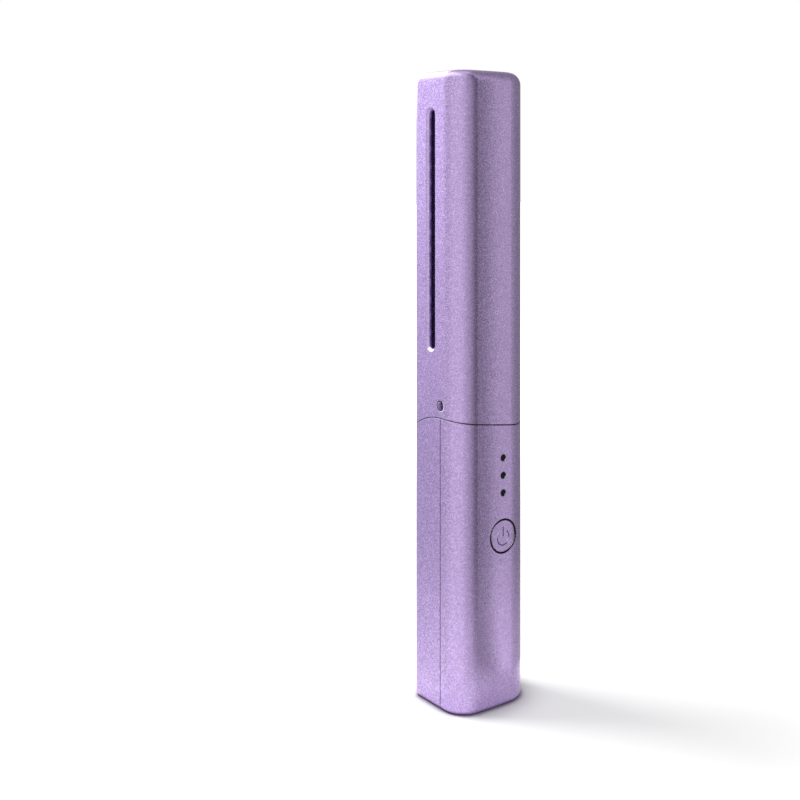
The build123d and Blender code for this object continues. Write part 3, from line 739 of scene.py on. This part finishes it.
def make_world():
    world = bpy.data.worlds.new("studio")
    bpy.context.scene.world = world
    graph = Graph(world)
    fill = graph.node("ShaderNodeBackground")
    fill.inputs["Color"].default_value = WHITE
    strength = graph.span(camera_share(graph), 0.0, 1.0, WORLD_FILL, WORLD_SEEN)
    graph.link(strength, fill.inputs["Strength"])
    graph.finish(fill.outputs[0], "ShaderNodeOutputWorld")


# ---- Lamps ----

LAMP_AIM = Vector((0, 0, 0.12))
# Turn in degrees from +Y towards the tooth side, distance from the comb's axis, height, width
# and tallness in metres, and power in watts.
LAMPS = {
    "key_light": (145, 0.50, 1.05, 0.34, 0.34, 8.6),
    "front_light": (40, 0.9, 0.4, 0.5, 0.6, 1.2),
}


def around(turn, distance, height):
    """Point at a turn in radians from +Y towards the tooth side."""
    return Vector((math.sin(turn) * distance, math.cos(turn) * distance, height))


def make_lamps():
    for name, (turn, distance, height, width, tall, power) in LAMPS.items():
        lamp = bpy.data.lights.new(name, "AREA")
        lamp.shape = "RECTANGLE"
        lamp.size = width
        lamp.size_y = tall
        lamp.energy = power
        light = bpy.data.objects.new(name, lamp)
        light.location = around(math.radians(turn), distance, height)
        light.rotation_euler = (LAMP_AIM - light.location).to_track_quat("-Z", "Y").to_euler()
        light.visible_glossy = False
        bpy.context.scene.collection.objects.link(light)


# ---- Light tent that only mirrored rays see ----

# The tent is a bowl with upright walls: radius and height of its rings.
TENT_PROFILE = ((42 * MM, 0.0), (160 * MM, 50 * MM), (160 * MM, 600 * MM))
TENT_SIDES = 96
# Its brightness by degrees from +Y towards the tooth side.
TENT_TONES = (
    (-180, 0.50), (-140, 0.40), (-100, 0.26), (-72, 0.30), (-57, 0.38), (-49, 0.44),
    (-43, 0.84), (-37.5, 1.38), (-33.5, 0.05), (-24, 0.0), (-12, 0.17), (4, 0.52),
    (22, 0.68), (42, 1.02), (85, 1.02), (105, 0.80), (125, 0.85), (160, 0.85), (180, 0.50),
)
TENT_TWIST = math.radians(5)        # the tones turn back by this at the foot
TENT_TWIST_TOP = TENT_PROFILE[1][1]
# Its brightness by height in mm, where the tooth side mirrors it.
TENT_SIDE_TONES = (
    (0, 0.95), (16, 0.80), (60, 0.74), (92, 0.92), (148, 1.12), (200, 1.50), (250, 1.60),
)
TENT_SIDE_HEIGHT = 250 * MM
TENT_SIDE_TINT = (0.98, 0.97, 1.08)
TENT_SIDE_SPAN = (math.radians(112), math.radians(138))     # turns where that starts and is full
TENT_FLOOR_GLOW = 0.30              # light that the bright floor adds at the foot
TENT_FLOOR_REACH = 30 * MM
# Bright windows high behind the comb, mirrored by the rounded rims that face up. Each has
# its turns in degrees, its heights in mm and its brightness.
WINDOWS = (
    (158, 205, 215, 370, 3.3),
    (202, 226, 286, 335, 2.4),
)
WINDOW_SOFT_TURN = math.radians(7)
WINDOW_SOFT = 28 * MM


def ramp_of(graph, value, tones, tint=(1, 1, 1)):
    """Colour ramp of tones of one tint at places from 0 to 1."""
    ramp = graph.node("ShaderNodeValToRGB")
    graph.link(value, ramp.inputs["Fac"])
    stops = ramp.color_ramp.elements
    while len(stops) < len(tones):
        stops.new(0.5)
    for stop, (place, tone) in zip(stops, tones):
        stop.position = place
        stop.color = rgba(*[tone * part for part in tint])
    return ramp.outputs["Color"]


def between(graph, value, low, high, soft):
    """1 between two limits, with soft edges inside them."""
    return graph.math(
        "MULTIPLY", graph.span(value, low, low + soft), graph.span(value, high, high - soft)
    )


def tent_colour(graph):
    """Tones round the tent and up its side, the floor's glow at the foot, and the windows."""
    place = graph.axes(graph.place())
    height = place["Z"]
    turn = graph.math("ARCTAN2", place["X"], place["Y"])
    twist = graph.span(height, 0.0, TENT_TWIST_TOP, TENT_TWIST, 0.0)
    twisted = graph.math("SUBTRACT", turn, twist)
    round_tone = ramp_of(
        graph,
        graph.math("ADD", graph.math("DIVIDE", twisted, math.tau), 0.5),
        [(0.5 + degrees / 360, tone) for degrees, tone in TENT_TONES],
    )
    side_tone = ramp_of(
        graph,
        graph.math("DIVIDE", height, TENT_SIDE_HEIGHT),
        [(mark * MM / TENT_SIDE_HEIGHT, tone) for mark, tone in TENT_SIDE_TONES],
        TENT_SIDE_TINT,
    )
    side_tone = graph.blend(graph.span(turn, *TENT_SIDE_SPAN), WHITE, side_tone)
    tone = graph.blend(1.0, round_tone, side_tone, "MULTIPLY")
    foot = graph.span(height, 0.0, TENT_FLOOR_REACH, TENT_FLOOR_GLOW, 0.0)
    tone = graph.blend(1.0, tone, foot, "ADD")
    full_turn = graph.math("FLOORED_MODULO", turn, math.tau)
    for turn_low, turn_high, low, high, bright in WINDOWS:
        across = between(
            graph, full_turn, math.radians(turn_low), math.radians(turn_high), WINDOW_SOFT_TURN
        )
        up = between(graph, height, low * MM, high * MM, WINDOW_SOFT)
        window = graph.math("MULTIPLY", graph.math("MULTIPLY", across, up), bright)
        tone = graph.blend(1.0, tone, window, "ADD")
    return tone


def make_tent():
    """The tent shapes the reflections in the paint."""
    vertices = [
        around(math.tau * k / TENT_SIDES, radius, height)
        for radius, height in TENT_PROFILE
        for k in range(TENT_SIDES)
    ]
    faces = []
    for ring in range(len(TENT_PROFILE) - 1):
        low, high = ring * TENT_SIDES, (ring + 1) * TENT_SIDES
        for k in range(TENT_SIDES):
            after = (k + 1) % TENT_SIDES
            faces.append((low + k, low + after, high + after, high + k))
    tent = add_piece("light_tent", vertices, faces)
    material = bpy.data.materials.new("light_tent")
    graph = Graph(material)
    glow = graph.node("ShaderNodeEmission")
    graph.link(tent_colour(graph), glow.inputs["Color"])
    graph.finish(glow.outputs[0])
    tent.data.materials.append(material)
    tent.visible_camera = False
    tent.visible_shadow = False
    tent.visible_diffuse = False
    tent.visible_transmission = False


make_camera()
comb_paint = paint_material(
    "comb_paint", edge=COMB_EDGE, line=COMB_LINE, metallic=COMB_METALLIC, glints=False
)
dress_nodes(comb_paint)
make_power_symbol()
make_trims()
make_scoop_cover(comb_paint)
make_world()
make_floor()
make_lamps()
make_tent()
bpy.context.scene.view_settings.view_transform = "Standard"
